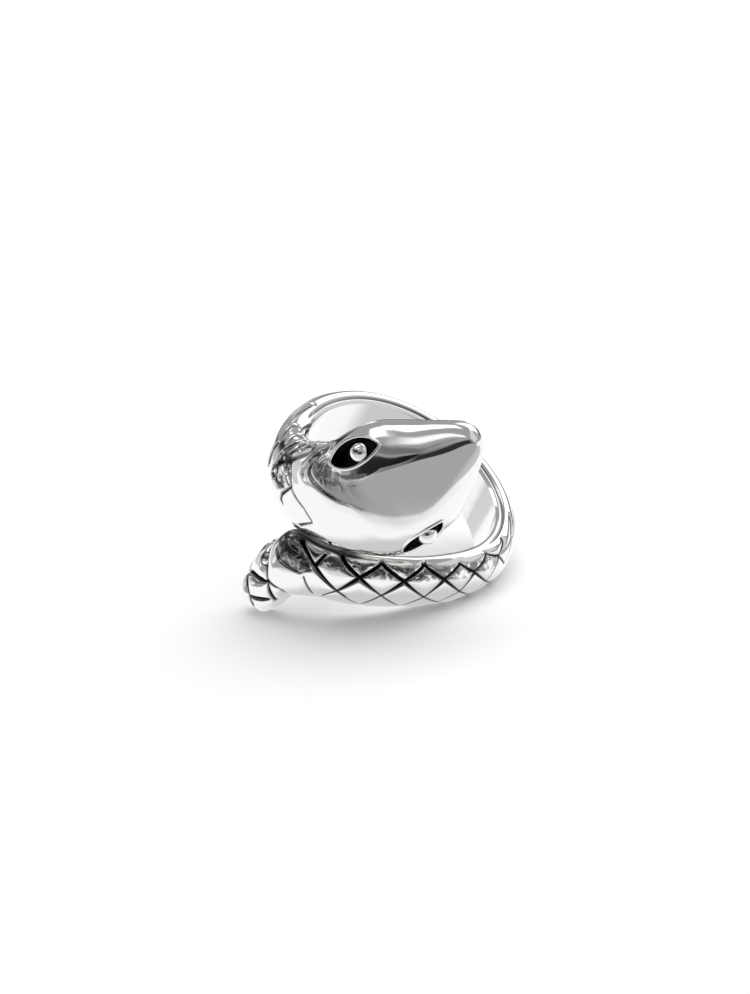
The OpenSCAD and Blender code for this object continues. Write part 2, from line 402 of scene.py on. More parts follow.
# Outline of the head's flat top, where a darker grey reflection is painted: back edge, lower side, nose, upper ridge
HEAD_TOP = (
    (25.7, 3.7), (26.1, 2.8), (26.8, 1.7), (27.7, 1.3), (28.4, 0.4), (29.0, -0.5), (29.6, -1.2), (30.3, -1.8),
    (31.0, -2.2), (31.8, -2.3), (32.6, -2.1), (33.5, -1.9), (34.4, -1.8), (35.2, -1.6), (36.2, -1.2), (37.3, -0.6),
    (37.3, 0.3), (36.0, 0.7), (34.7, 1.2), (33.8, 1.7), (33.0, 2.2), (32.2, 2.6), (31.0, 2.8), (29.5, 2.9),
    (28.5, 3.3), (27.5, 3.9), (26.5, 4.3),
)
# Edge of the elbow's sunk facet, which also gets painted shade
ELBOW_EDGE = ((6.5, 2.95), (6.68, 2.1), (6.9, 1.5), (7.38, 1.0), (8.28, 0.35), (8.82, 0.65), (8.6, 1.5), (8.1, 2.3),
              (7.9, 2.95))
ELBOW_SEED = (7.6, 2.0)

# Patches of the skin: from, to and softness along the snake, in mm of arc or in rows, then the same across it in mm,
# and the strength of the patina, of the painted shade or of the painted grey reflection there
# painted shade on the strand's upper scales, under the head's overhang
UNDER_HEAD_ARC = (-2.0, 14.5, 1.5, 1.25, 2.2, 0.3, 0.75)
RECESS_ARC = (58.3, 61.9, 0.6, -0.4, 2.3, 0.5, 1.0)
BEHIND_EYE_ROWS = (26.0, 27.9, 0.5, 2.6, 4.9, 0.6, 0.6)
# painted grey reflection, stronger towards the neck
TOWARDS_NECK_ROWS = (24.0, 28.6, 1.6, 0.0, 3.4, 0.8, 0.35)
# a pale painted band of darker reflection below the flat top's lower edge
TOP_BORDER_ROWS = (24.5, 33.5, 1.0, -4.0, 3.0, 0.5, 0.1)
# Strength of the painted grey reflection on the flat top and of the grey and mottled painted shade on the elbow's
# facet, then the size and softness of the pale painted band and of the flat top's outline
TOP_TINT, FACET_TINT, FACET_PAINTED_SHADE = 0.6, 0.85, 0.8
BORDER_W, BORDER_SOFT = 0.75, 0.2
OUTLINE_SOFT = 0.22
# Arc in mm along the snake where the head grows out of the neck, where the band's back has rims, and where the
# head lies close over the strand and a strip of painted shade lies under it
JOIN_ARC = (61.0, 71.5, 3.0)
JOIN_PASSES = 60
BACK_ARC = (15.0, 51.0, 3.0)
CONTACT_ARC = (-5.6, 1.2, 1.4)
# In radians round the section: ends of the dark strip of painted shade under the head, and their softness
CONTACT_LOW, CONTACT_HIGH, CONTACT_SOFT = -0.5, 0.42, 0.15
# darkness of the painted shade strip, laid into the oxide mask
CONTACT_SHADE = 0.9
# Place and half width in radians round the section, depth in mm, oxide: beside the finger hole and on the outside
RIM_GROOVES = ((-0.22, 0.1, 0.16, 0.75), (0.62, 0.09, 0.1, 0.5))


# ---------------------------------------------------------------- carving
TRACE_STEP = 0.04
SAMPLES_A_LEG = 12
# Section of a groove in mm: its least half width, how far its flanks and its oxide run past the half width, and
# the half width from which it has its full depth
LEAST_HALF, FLANK_PAST, OXIDE_PAST, FULL_HALF = 0.02, 0.06, 0.035, 0.18
FLANK_POWER = 1.3
SEARCH_PAST = 0.4


def trace(stroke):
    """Evenly spaced points along a stroke in 3-D, with any further values of its places carried along."""
    p = np.array(stroke, float)
    t = np.arange(len(p))
    fine = np.linspace(0, len(p) - 1, SAMPLES_A_LEG * (len(p) - 1) + 1)
    pts = skin(np.interp(fine, t, p[:, 0]), np.interp(fine, t, p[:, 1]))
    run = np.concatenate([[0], np.cumsum(np.linalg.norm(np.diff(pts, axis=0), axis=1))])
    even = np.linspace(0, run[-1], max(2, int(run[-1] / TRACE_STEP)))
    carried = [np.interp(even, run, np.interp(fine, t, p[:, k])) for k in range(2, p.shape[1])]
    return np.stack([np.interp(even, run, pts[:, k]) for k in range(3)], 1), carried


def nearest(points, line, reach):
    """Distance to the nearest sample of a line and its index, far where it is beyond reach."""
    dist = np.full(len(points), 1e3)
    index = np.zeros(len(points), int)
    lo, hi = line.min(0) - reach, line.max(0) + reach
    near = np.where(np.all((points > lo) & (points < hi), axis=1))[0]
    for part in np.array_split(near, max(1, len(near) // 4000)):
        if len(part) == 0:
            continue
        d = np.linalg.norm(points[part, None, :] - line[None], axis=2)
        index[part] = d.argmin(1)
        dist[part] = d.min(1)
    return dist, index


def inside_outline(outline, row, q):
    """Whether places lie inside a closed outline of (row, across) corners."""
    inside = np.zeros(row.shape, bool)
    for (r0, q0), (r1, q1) in zip(outline, outline[1:] + outline[:1]):
        if r0 == r1:
            continue
        crosses = (row >= min(r0, r1)) & (row < max(r0, r1))
        inside ^= crosses & (q > q0 + (row - r0) * (q1 - q0) / (r1 - r0))
    return inside


def faded_ends(index, count):
    """One along a line, and less over the quarter at either end."""
    return smooth(np.minimum(index, count - 1 - index) / (0.25 * count))


class Carving:
    """Depth in mm to cut below the smooth skin, with the oxide in the grooves and the patina in the hollows."""

    def __init__(self, points):
        self.points = points
        self.depth = np.zeros(len(points))
        self.oxide_and_shade = np.zeros(len(points))
        self.patina_and_shade = np.zeros(len(points))

    def grooves(self, strokes, puff, reach, vee_depth, ink=1.0):
        """V-shaped grooves, with the skin between them rounded down towards them from reach."""
        close = np.full(len(self.points), 1e3)
        vee = np.zeros(len(self.points))
        for stroke in strokes:
            line, (half,) = trace(stroke)
            d, k = nearest(self.points, line, reach + SEARCH_PAST)
            w = np.maximum(half[k], LEAST_HALF)
            close = np.minimum(close, d)
            flank = (1 - np.clip(d / (w + FLANK_PAST), 0, 1)) ** FLANK_POWER
            vee = np.maximum(vee, vee_depth * np.minimum(1, w / FULL_HALF) * flank)
            self.oxide_and_shade = np.maximum(self.oxide_and_shade, ink * smooth(1.35 - d / (w + OXIDE_PAST)))
        self.depth += puff * (1 - np.clip(close / reach, 0, 1)) ** 2 + vee

    def ridge(self, places, half, height):
        line, _ = trace(places)
        d, k = nearest(self.points, line, half)
        self.depth -= faded_ends(k, len(line)) * height * (1 - np.clip(d / half, 0, 1) ** 2) ** 2

    def sink(self, places, seed, depth, inside, outside):
        """A steep edge along a line, sinking towards the seed and rising again further in; returns its inside."""
        line, _ = trace(places)
        centre = skin(*seed)[0]
        d, k = nearest(self.points, line, inside)
        within = np.linalg.norm(self.points - centre, axis=1) < np.linalg.norm(line[k] - centre, axis=1)
        span = np.where(within, inside, outside)
        self.depth += faded_ends(k, len(line)) * depth * (1 - np.clip(d / span, 0, 1)) ** 2
        return within & (d < inside)

    def pit(self, row, q, radius, depth):
        d = np.linalg.norm(self.points - skin(row, q)[0], axis=1)
        self.depth += depth * smooth(1.2 - d / radius)
        self.patina_and_shade = np.maximum(self.patina_and_shade, smooth(1.3 - d / radius))


# ---------------------------------------------------------------- the ring's mesh
UPPER_SIDES = 104
LOWER_SIDES = 24
# The lower sides that lie close together, where the edge of the band shows, and the angle that they take up. The
# others start and end a little away from their neighbours.
EDGE_SIDES = 12
EDGE_ANGLE = 34
LOWER_FROM, LOWER_TO = 183.6, 320
# Length of the rows in mm, at places in mm of arc: close together where the snake is carved
STEP_PLACES = (-13, 20, 22, 45, 48, 66, 70, 80)
STEP_LENGTHS = (0.085, 0.085, 0.45, 0.45, 0.095, 0.1, 0.13, 0.15)


def ring_rows():
    """Rows of the sweep and their arc length in mm from the front."""
    s = np.linspace(0, LAST, 4001)
    st = at(s)
    mid = place(st, np.zeros(len(s)), crown(st, np.zeros(len(s))))
    arc = np.concatenate([[0], np.cumsum(np.linalg.norm(np.diff(mid, axis=0), axis=1))])
    arc -= np.interp(0, st[:, PHI], arc)
    step = np.interp(arc, STEP_PLACES, STEP_LENGTHS)
    count = np.concatenate([[0], np.cumsum(np.diff(arc) / step[:-1])])
    n = int(np.ceil(count[-1])) + 1
    rows = np.interp(np.linspace(0, count[-1], n), count, s)
    return rows, np.interp(rows, s, arc)


def carve(points):
    """All the strokes, ridges and hollows, with the inside of the elbow's facet."""
    cuts = Carving(points)
    cuts.grooves(front_strokes(), puff=0.13, reach=0.8, vee_depth=0.28)
    cuts.grooves(TAIL_STROKES, puff=0.32, reach=1.1, vee_depth=0.26)
    cuts.grooves(NECK_STROKES, puff=0.24, reach=0.55, vee_depth=0.24, ink=0.9)
    cuts.grooves(PLATE_STROKES, puff=0.05, reach=0.4, vee_depth=0.2)
    cuts.grooves(TOP_EDGE_STROKES, puff=0.0, reach=0.4, vee_depth=0.08, ink=0.5)
    cuts.ridge(COLLAR, half=0.55, height=0.16)
    cuts.ridge(BROW, half=0.3, height=0.11)
    cuts.sink(SUNK_EDGE, HEAD_SEED, depth=0.12, inside=1.5, outside=0.4)
    facet = cuts.sink(ELBOW_EDGE, ELBOW_SEED, depth=0.14, inside=1.3, outside=0.3)
    cuts.pit(*PIT, PIT_DEPTH)
    return cuts, facet


def painted_shade(cuts, facet, row, q):
    """Painted grey reflection on the head's flat top, a paler painted band below it and painted shade on the elbow's
    facet.
    """
    on_top = inside_outline(HEAD_TOP, row, q)
    edge_away, _ = nearest(cuts.points, trace(HEAD_TOP + HEAD_TOP[:1])[0], 1.0)
    flat = smooth(0.5 + np.where(on_top, 1, -1) * edge_away / OUTLINE_SOFT)
    border = window(edge_away, -1.0, BORDER_W, BORDER_SOFT) * patch(row, q, TOP_BORDER_ROWS) * ~on_top
    return np.max([flat * (TOP_TINT + patch(row, q, TOWARDS_NECK_ROWS)), border, FACET_TINT * facet], axis=0)


def build_ring():
    """Points of the carved sweep, its oxide, patina and painted shade masks, and its numbers of rings and sides."""
    rows, arc = ring_rows()
    st = at(rows)
    upper = np.pi * (np.arange(UPPER_SIDES) + 0.5) / UPPER_SIDES
    edge = -deg(EDGE_ANGLE) * (1 - np.arange(EDGE_SIDES) / EDGE_SIDES)
    lower = np.linspace(deg(LOWER_FROM), deg(LOWER_TO), LOWER_SIDES - EDGE_SIDES)
    angles = np.concatenate([upper, lower, 2 * np.pi + edge])
    pts, q = section_grid(st, angles, SINK)
    # the head grows out of the neck without a crease
    calm = window(arc, *JOIN_ARC)[:, None, None]
    for _ in range(JOIN_PASSES):
        mean = pts.copy()
        mean[1:-1] = 0.25 * pts[:-2] + 0.5 * pts[1:-1] + 0.25 * pts[2:]
        pts = pts + calm * (mean - pts)
    along = np.gradient(pts, axis=0)
    round_ = np.gradient(np.concatenate([pts[:, -1:], pts, pts[:, :1]], 1), axis=1)[:, 1:-1]
    normal = np.cross(along, round_)
    normal /= np.linalg.norm(normal, axis=2)[..., None] + 1e-12
    if (normal[:, UPPER_SIDES // 2] * outward(st[:, FACE])).sum() < 0:
        normal = -normal
    # carving and masks of the upper side
    upper_q = q[:, :UPPER_SIDES].ravel()
    upper_row = np.repeat(rows, UPPER_SIDES)
    upper_arc = np.repeat(arc, UPPER_SIDES)
    cuts, facet = carve(section_grid(st, upper, SINK)[0].reshape(-1, 3))
    # patina in the pit and the recess, and painted shade under the head and on the elbow's facet
    patina_and_shade_patches = [cuts.patina_and_shade, patch(upper_arc, upper_q, UNDER_HEAD_ARC), patch(upper_arc, upper_q, RECESS_ARC),
              FACET_PAINTED_SHADE * facet, patch(upper_row, upper_q, BEHIND_EYE_ROWS)]
    found = (cuts.depth, cuts.oxide_and_shade, np.max(patina_and_shade_patches, axis=0), painted_shade(cuts, facet, upper_row, upper_q))
    depth, oxide_and_shade, patina_and_shade, tint = np.zeros((4,) + q.shape)
    for whole, part in zip((depth, oxide_and_shade, patina_and_shade, tint), found):
        whole[:, :UPPER_SIDES] = part.reshape(len(rows), UPPER_SIDES)
    # rims round the back of the band
    back = window(arc, *BACK_ARC)[:, None]
    t = np.where(angles > np.pi, angles - 2 * np.pi, angles)[None, :]
    for at_angle, half, groove_depth, ink in RIM_GROOVES:
        d = np.abs(t - at_angle) / half
        depth += back * groove_depth * (1 - np.clip(d, 0, 1)) ** FLANK_POWER
        oxide_and_shade = np.maximum(oxide_and_shade, back * ink * smooth(1.2 - d))
    # painted shade: a dark strip along the strand's upper edge where the head lies close over it
    contact = smooth((CONTACT_HIGH - t) / CONTACT_SOFT) * smooth((t - CONTACT_LOW) / CONTACT_SOFT)
    oxide_and_shade = np.maximum(oxide_and_shade, CONTACT_SHADE * window(arc, *CONTACT_ARC)[:, None] * contact)
    pts = pts - normal * depth[..., None]
    masks = np.stack([oxide_and_shade.ravel(), patina_and_shade.ravel(), tint.ravel()], 1)
    return pts.reshape(-1, 3), masks, len(rows), len(angles)


# Half of the stretch of skin in mm that gives the slope at an eye
EYE_SPAN = 0.4


def eye_frame(side, off):
    """Origin and axes on the skin at an eye: ahead, across and out."""
    st = at(EYE_ROW)[0]
    q = side * off
    before, origin, after = skin(EYE_ROW, (q - EYE_SPAN, q, q + EYE_SPAN))
    b = (after - before) / np.linalg.norm(after - before)
    t = travel_dir(st)
    n = np.cross(t, b)
    ahead = t * np.cos(deg(EYE_TOE)) - side * b * np.sin(deg(EYE_TOE))
    return origin, ahead, np.cross(n, ahead), n


def almond(length, width, n=48):
    """Outline of two arcs that meet in a point at either end."""
    a, b = length / 2, width / 2
    r = (a * a + b * b) / (2 * b)
    half = np.arcsin(a / r)
    t = np.linspace(-half, half, n)
    top = [(r * np.sin(x), r * np.cos(x) - (r - b)) for x in t]
    return top + [(-x, -y) for x, y in top[1:-1]]


HOLE_SIDES = 256
HOLE_LOW, HOLE_HIGH = -15, 25
HOLLOW_SIDES = 48
# The rim round an eye: its radius, how much higher it is than wide, how much longer and wider than the socket its
# line is, the height from which it is laid on the skin, the passes that even it out, and its points
RIM_R, RIM_TALL, RIM_MORE = 0.135, 1.1, 0.1
RIM_ABOVE, RIM_REACH = 2.5, 6
RIM_PASSES = 2
RIM_LOOP, RIM_SIDES = 120, 10
# Oxide in a socket starts this far below the skin, and takes in the ends, curved walls and floor within these
# distances
SOCKET_LIP, END_NEAR, WALL_NEAR, FLOOR_NEAR = 0.12, 0.02, 0.03, 0.05
SHARP_ANGLE = 38
MASK_REACH = 0.15


def finger_hole():
    a = 2 * np.pi * np.arange(HOLE_SIDES) / HOLE_SIDES
    outline = np.stack([BORE_R * np.sin(a), -BORE_R * np.cos(a)], 1)
    x, y = np.eye(3)[:2]
    return prism("hole", outline, HOLE_HIGH - HOLE_LOW, (HOLE_LOW * UP, x, y, UP))


def head_hollow():
    st = at(np.arange(HOLLOW_FROM, HOLLOW_TO + 0.01, HOLLOW_STEP))
    st[:, [LEFT, RIGHT]] -= SIDE_WALL
    st[:, [TOP, TABLE]] -= ROOF
    st[:, BELT_H] -= HOLLOW_DROP
    angles = 2 * np.pi * (np.arange(HOLLOW_SIDES) + 0.5) / HOLLOW_SIDES
    grid, _ = section_grid(st, angles, HOLLOW_SINK)
    return mesh_object("hollow", grid.reshape(-1, 3), tube_faces(len(st), HOLLOW_SIDES))


def eye_socket(side):
    c, x, y, z = eye_frame(side, SOCKET_Q)
    return prism("socket", almond(SOCKET_L, SOCKET_W), SOCKET_CUT, (c - SOCKET_BACK * x - SOCKET_DEPTH * z, x, y, z))


def in_socket(points, side):
    """Whether points lie on a socket's floor or walls, below its mouth."""
    c, x, y, z = eye_frame(side, SOCKET_Q)
    rel = points - c + SOCKET_BACK * x
    a, b, h = rel @ x, rel @ y, rel @ z
    half_l, half_w = SOCKET_L / 2 + END_NEAR, SOCKET_W / 2 + END_NEAR
    r = (half_l**2 + half_w**2) / (2 * half_w)
    lens = (np.abs(a) < half_l) & (np.abs(b) < half_w) & (np.hypot(a, np.abs(b) + r - half_w) < r + WALL_NEAR)
    return lens & (h < -SOCKET_LIP) & (h > -SOCKET_DEPTH - FLOOR_NEAR)


def carry_masks(mesh, points, masks):
    """Writes each vertex's masks, from the nearest point of the carved sweep; the sockets are oxidised too."""
    tree = KDTree(len(points))
    for i, p in enumerate(rest(points) * MM):
        tree.insert(p, i)
    tree.balance()
    co = np.empty(len(mesh.vertices) * 3)
    mesh.vertices.foreach_get("co", co)
    co = co.reshape(-1, 3)
    kept = np.zeros((len(co), 3))
    for i, p in enumerate(co):
        _, k, dist = tree.find(p)
        if dist < MASK_REACH * MM:
            kept[i] = masks[k]
    in_ring_frame = (co / MM - SEAT) @ TILT
    for side in (-1, 1):
        kept[in_socket(in_ring_frame, side), 0] = 1
    # oxide with painted contact shade, patina with painted shade, and the painted grey reflection and shade
    for column, mask in enumerate(("oxide_and_shade", "patina_and_shade", "painted_shade")):
        attr = mesh.attributes.new(mask, "FLOAT", "POINT")
        attr.data.foreach_set("value", kept[:, column].astype(np.float32))


def eye_rims(skin_tree):
    """A fine raised rim round each eye, laid on the skin."""
    pts, faces = [], []
    for side in (-1, 1):
        c, x, y, z = eye_frame(side, SOCKET_Q)
        path = []
        for a, b in almond(SOCKET_L + RIM_MORE, SOCKET_W + RIM_MORE, RIM_LOOP // 2 + 1):
            start = c + (a - SOCKET_BACK) * x + b * y + RIM_ABOVE * z
            hit = skin_tree.ray_cast(Vector(start.tolist()), Vector((-z).tolist()), RIM_REACH)[0]
            path.append(np.array(hit) if hit is not None else start - RIM_ABOVE * z)
        path = np.array(path)
        for _ in range(RIM_PASSES):
            path = 0.25 * np.roll(path, 1, 0) + 0.5 * path + 0.25 * np.roll(path, -1, 0)
        first = len(pts)
        for i, p in enumerate(path):
            ahead = path[(i + 1) % len(path)] - path[i - 1]
            ahead /= np.linalg.norm(ahead)
            out = np.cross(ahead, z)
            out /= np.linalg.norm(out)
            up = np.cross(out, ahead)
            for k in range(RIM_SIDES):
                t = 2 * np.pi * k / RIM_SIDES
                pts.append(p + RIM_R * (np.cos(t) * out + RIM_TALL * np.sin(t) * up))
        for i in range(len(path)):
            a0, a1 = first + i * RIM_SIDES, first + (i + 1) % len(path) * RIM_SIDES
            for k in range(RIM_SIDES):
                after = (k + 1) % RIM_SIDES
                faces.append((a0 + k, a0 + after, a1 + after, a1 + k))
    rims = mesh_object("eye_rims", np.array(pts), faces)
    shade_smooth(rims)
    return rims


def make_ring():
    pts, masks, rings, sides = build_ring()
    faces = tube_faces(rings, sides)
    ring = mesh_object("carved_ring", pts, faces)
    rims = eye_rims(BVHTree.FromPolygons(pts.tolist(), faces[:-2]))
    for cutter in (finger_hole, head_hollow):
        cut(ring, cutter())
    for side in (-1, 1):
        cut(ring, eye_socket(side))
    carry_masks(ring.data, pts, masks)
    shade_smooth(ring)
    ring.data.set_sharp_from_angle(angle=deg(SHARP_ANGLE))
    bpy.ops.object.select_all(action="DESELECT")
    rims.select_set(True)
    ring.select_set(True)
    bpy.context.view_layer.objects.active = ring
    bpy.ops.object.join()
    return ring


BEAD_AROUND, BEAD_RINGS = 48, 24


def make_bead(side, name):
    c, x, y, z = eye_frame(side, EYE_Q)
    centre = c + (BEAD_R - SOCKET_DEPTH + BEAD_GAP) * z
    n, m = BEAD_AROUND, BEAD_RINGS
    pts = [centre + BEAD_R * z]
    for i in range(1, m):
        t = np.pi * i / m
        for k in range(n):
            p = 2 * np.pi * k / n
            pts.append(centre + BEAD_R * (np.sin(t) * (np.cos(p) * x + np.sin(p) * y) + np.cos(t) * z))
    pts.append(centre - BEAD_R * z)
    faces = [(0, 1 + k, 1 + (k + 1) % n) for k in range(n)]
    for i in range(m - 2):
        for k in range(n):
            a, b = 1 + i * n + k, 1 + i * n + (k + 1) % n
            faces.append((a, a + n, b + n, b))
    end = len(pts) - 1
    base = 1 + (m - 2) * n
    faces += [(base + (k + 1) % n, base + k, end) for k in range(n)]
    bead = mesh_object(name, np.array(pts), faces)
    shade_smooth(bead)
    return bead


# ---------------------------------------------------------------- materials
SILVER = (0.78, 0.775, 0.765, 1)
# grey painted into the metal for the head's darker reflection and the shade on the elbow's facet
PAINTED_SHADE_GREY = (0.2, 0.2, 0.2, 1)
BLACKENED = (0.012, 0.012, 0.014, 1)
OXIDE_ROUGHNESS = 0.4


def add_node(nt, kind, settings=None, **values):
    """New shader node with its settings and the values of its sockets, where _ stands for a space."""
    made = nt.nodes.new("ShaderNode" + kind)
    for name, value in (settings or {}).items():
        setattr(made, name, value)
    for name, value in values.items():
        made.inputs[name.replace("_", " ")].default_value = value
    return made


def add_math(nt, operation, a, b):
    """The result of a Math node over two sockets."""
    made = add_node(nt, "Math", {"operation": operation})
    nt.links.new(a, made.inputs[0])
    nt.links.new(b, made.inputs[1])
    return made.outputs["Value"]


def add_range(nt, source, smoothed=False, **values):
    """The result of a Map Range node over a socket."""
    made = add_node(nt, "MapRange", {"interpolation_type": "SMOOTHSTEP" if smoothed else "LINEAR"}, **values)
    nt.links.new(source, made.inputs["Value"])
    return made.outputs["Result"]


def polished_silver(name):
    """Polished silver with faint wear in its gloss; returns the material, its tree and some of its parts."""
    mat = bpy.data.materials.new(name)
    mat.use_nodes = True
    nt = mat.node_tree
    bsdf = nt.nodes["Principled BSDF"]
    bsdf.inputs["Metallic"].default_value = 1.0
    bsdf.inputs["Base Color"].default_value = SILVER
    coord = add_node(nt, "TexCoord")
    noise = add_node(nt, "TexNoise", Scale=900, Detail=4)
    nt.links.new(coord.outputs["Object"], noise.inputs["Vector"])
    rough = add_range(nt, noise.outputs["Fac"], To_Min=0.05, To_Max=0.13)
    nt.links.new(rough, bsdf.inputs["Roughness"])
    bump = add_node(nt, "Bump", Strength=0.06, Distance=0.00003)
    nt.links.new(noise.outputs["Fac"], bump.inputs["Height"])
    nt.links.new(bump.outputs["Normal"], bsdf.inputs["Normal"])
    return mat, nt, bsdf, coord, rough, bump


def carved_silver(name):
    """Polished silver with oxide in its grooves, patina in patches and painted shade, after the mesh's masks."""
    mat, nt, bsdf, coord, rough, bump = polished_silver(name)
    link = nt.links.new
    # masks of oxide with painted contact shade, of patina with painted shade, and of painted grey reflection and
    # shade
    oxide_and_shade, patina_and_shade, painted_shade_mask = (add_node(nt, "Attribute", {"attribute_name": mask}).outputs["Fac"]
                                 for mask in ("oxide_and_shade", "patina_and_shade", "painted_shade"))
    blotch = add_node(nt, "TexNoise", Scale=1150, Detail=1.6, Distortion=0.9)
    link(coord.outputs["Object"], blotch.inputs["Vector"])
    # mottled darkening of the patina and of the painted shade
    mottled_patina_and_shade = add_math(nt, "MULTIPLY", add_range(nt, blotch.outputs["Fac"], True, From_Min=0.4, From_Max=0.56), patina_and_shade)
    dark = add_math(nt, "MAXIMUM", mottled_patina_and_shade, oxide_and_shade)
    # painted grey reflection and painted shade, after their mask
    tint = add_node(nt, "Mix", {"data_type": "RGBA"}, A=SILVER, B=PAINTED_SHADE_GREY)
    link(painted_shade_mask, tint.inputs["Factor"])
    color = add_node(nt, "Mix", {"data_type": "RGBA"}, B=BLACKENED)
    link(tint.outputs["Result"], color.inputs["A"])
    link(dark, color.inputs["Factor"])
    link(color.outputs["Result"], bsdf.inputs["Base Color"])
    gloss = add_node(nt, "Mix", {"data_type": "FLOAT"}, B=OXIDE_ROUGHNESS)
    link(rough, gloss.inputs["A"])
    link(dark, gloss.inputs["Factor"])
    link(gloss.outputs["Result"], bsdf.inputs["Roughness"])
    # the metal under the patina and the painted shade is uneven
    pitted = add_node(nt, "Bump", Distance=0.00022)
    link(patina_and_shade, pitted.inputs["Strength"])
    link(blotch.outputs["Fac"], pitted.inputs["Height"])
    link(bump.outputs["Normal"], pitted.inputs["Normal"])
    link(pitted.outputs["Normal"], bsdf.inputs["Normal"])
    return mat


def plain(name, color, roughness=0.8):
    mat = bpy.data.materials.new(name)
    mat.use_nodes = True
    b = mat.node_tree.nodes["Principled BSDF"]
    b.inputs["Base Color"].default_value = (*color, 1)
    b.inputs["Roughness"].default_value = roughness
    return mat


# ---------------------------------------------------------------- camera
VIEW_OVER_RING = 36.0
VIEW_ROLL = 28.7
PIXELS_PER_MM = 12.07
IMAGE_W, IMAGE_H = 750, 994
# Pixel of the photograph where the centre of the finger hole lies
RING_AT = (390.7, 498.8)
VIEW_DISTANCE = 1000.0
SENSOR_H = 24


def make_camera():
    e, r = deg(VIEW_OVER_RING), deg(VIEW_ROLL)
    back = TILT @ np.array([0, -np.cos(e), np.sin(e)])
    up = TILT @ np.array([-np.sin(r), np.cos(r) * np.sin(e), np.cos(r) * np.cos(e)])
    right = np.cross(up, back)
    dx = (RING_AT[0] - IMAGE_W / 2) / PIXELS_PER_MM
    dy = (RING_AT[1] - IMAGE_H / 2) / PIXELS_PER_MM
    eye = (SEAT - dx * right + dy * up + VIEW_DISTANCE * back) * MM
    cam = bpy.data.cameras.new("camera")
    cam.sensor_fit = "VERTICAL"
    cam.sensor_height = SENSOR_H
    cam.lens = SENSOR_H * VIEW_DISTANCE / (IMAGE_H / PIXELS_PER_MM)
    cam.clip_start = 0.05
    cam.clip_end = 20
    obj = bpy.data.objects.new("camera", cam)
    m = np.eye(4)
    m[:3, 0], m[:3, 1], m[:3, 2], m[:3, 3] = right, up, back, eye
    obj.matrix_world = Matrix(m.tolist())
    bpy.context.scene.collection.objects.link(obj)
    bpy.context.scene.camera = obj


# ---------------------------------------------------------------- table and light
WORLD_LIGHT = 0.42
TABLE_WHITE = (0.9, 0.9, 0.9)
CARD_AWAY = 0.5
# The table in the metal: half its size in metres, and how far it lies below the real one
MIRRORED_HALF, MIRRORED_DROP = 1.5, 1e-4
# From and to in mm, with the radiance there: towards the camera, and out of the ring's own shade
TABLE_NEAR = dict(From_Min=-30 * MM, From_Max=-14 * MM, To_Min=0.85, To_Max=1.2)
TABLE_SHADE = dict(From_Min=8 * MM, From_Max=12 * MM, To_Min=0.62, To_Max=1)
# name, azimuth, elevation, half width and half height in degrees, radiance, softness of the edge
CARDS = (
    ("soft_left", -110, 60, 11, 10, 2.4, 0.35),
    ("soft_back", -158, 73, 15, 9, 2.6, 0.35),
    ("soft_right", 146, 30, 21, 20, 2.0, 0.35),
    ("side_right", 90, 32, 30, 24, 0.8, 0.35),
    ("low_back", -130, 4, 27, 20, 0.8, 0.8),
    ("streak", -32, 69, 20, 7, 1.3, 0.6),
    ("strip_left", -132, 24, 4, 10, 1.5, 0.35),
    ("strip_low", -106, 10, 6, 6, 1.1, 0.35),
    ("strip_back", -171, 17, 4, 8, 1.8, 0.5),
    ("dark_strip", -150, 17, 9, 11, 0.03, 0.5),
    ("dark_left", -54, 33, 27, 13, 0.02, 0.15),
    ("dusk_left", -98, 33, 20, 13, 0.14, 0.35),
    ("dusk_top", -48, 53, 20, 6, 0.2, 0.5),
    ("dark_front", 0, 16, 26, 22, 0.06, 0.35),
    ("dark_back", 163, 6, 38, 8, 0.12, 0.35),
)
# name, azimuth, elevation, distance and size in metres, power in watts
LIGHTS = (
    ("key", 116, 66, 0.6, 0.9, 2.9),
    ("fill", 0, 90, 0.9, 1.5, 3.95),
)


def direction(azimuth, elevation):
    """Unit vector in the table's frame; azimuth 0 is towards the camera and 90 to its right."""
    a, e = deg(azimuth), deg(elevation)
    return np.array([np.sin(a) * np.cos(e), -np.cos(a) * np.cos(e), np.sin(e)])


def glowing_plane(name, half_w, half_h, height=0.0, radiance=1.0):
    """Flat emitter that only the metal sees, with its tree, its glow and its place on it."""
    mesh = bpy.data.meshes.new(name)
    corners = ((-1, -1), (1, -1), (1, 1), (-1, 1))
    mesh.from_pydata([(x * half_w, y * half_h, height) for x, y in corners], [], [(0, 1, 2, 3)])
    mat = bpy.data.materials.new(name)
    mat.use_nodes = True
    nt = mat.node_tree
    nt.nodes.clear()
    out = add_node(nt, "OutputMaterial")
    glow = add_node(nt, "Emission", Color=(1, 1, 1, 1), Strength=radiance)
    nt.links.new(glow.outputs["Emission"], out.inputs["Surface"])
    mesh.materials.append(mat)
    obj = bpy.data.objects.new(name, mesh)
    obj.visible_camera = False
    obj.visible_diffuse = False
    obj.visible_shadow = False
    obj.visible_transmission = False
    bpy.context.scene.collection.objects.link(obj)
    return obj, nt, glow, add_node(nt, "TexCoord").outputs["Object"]


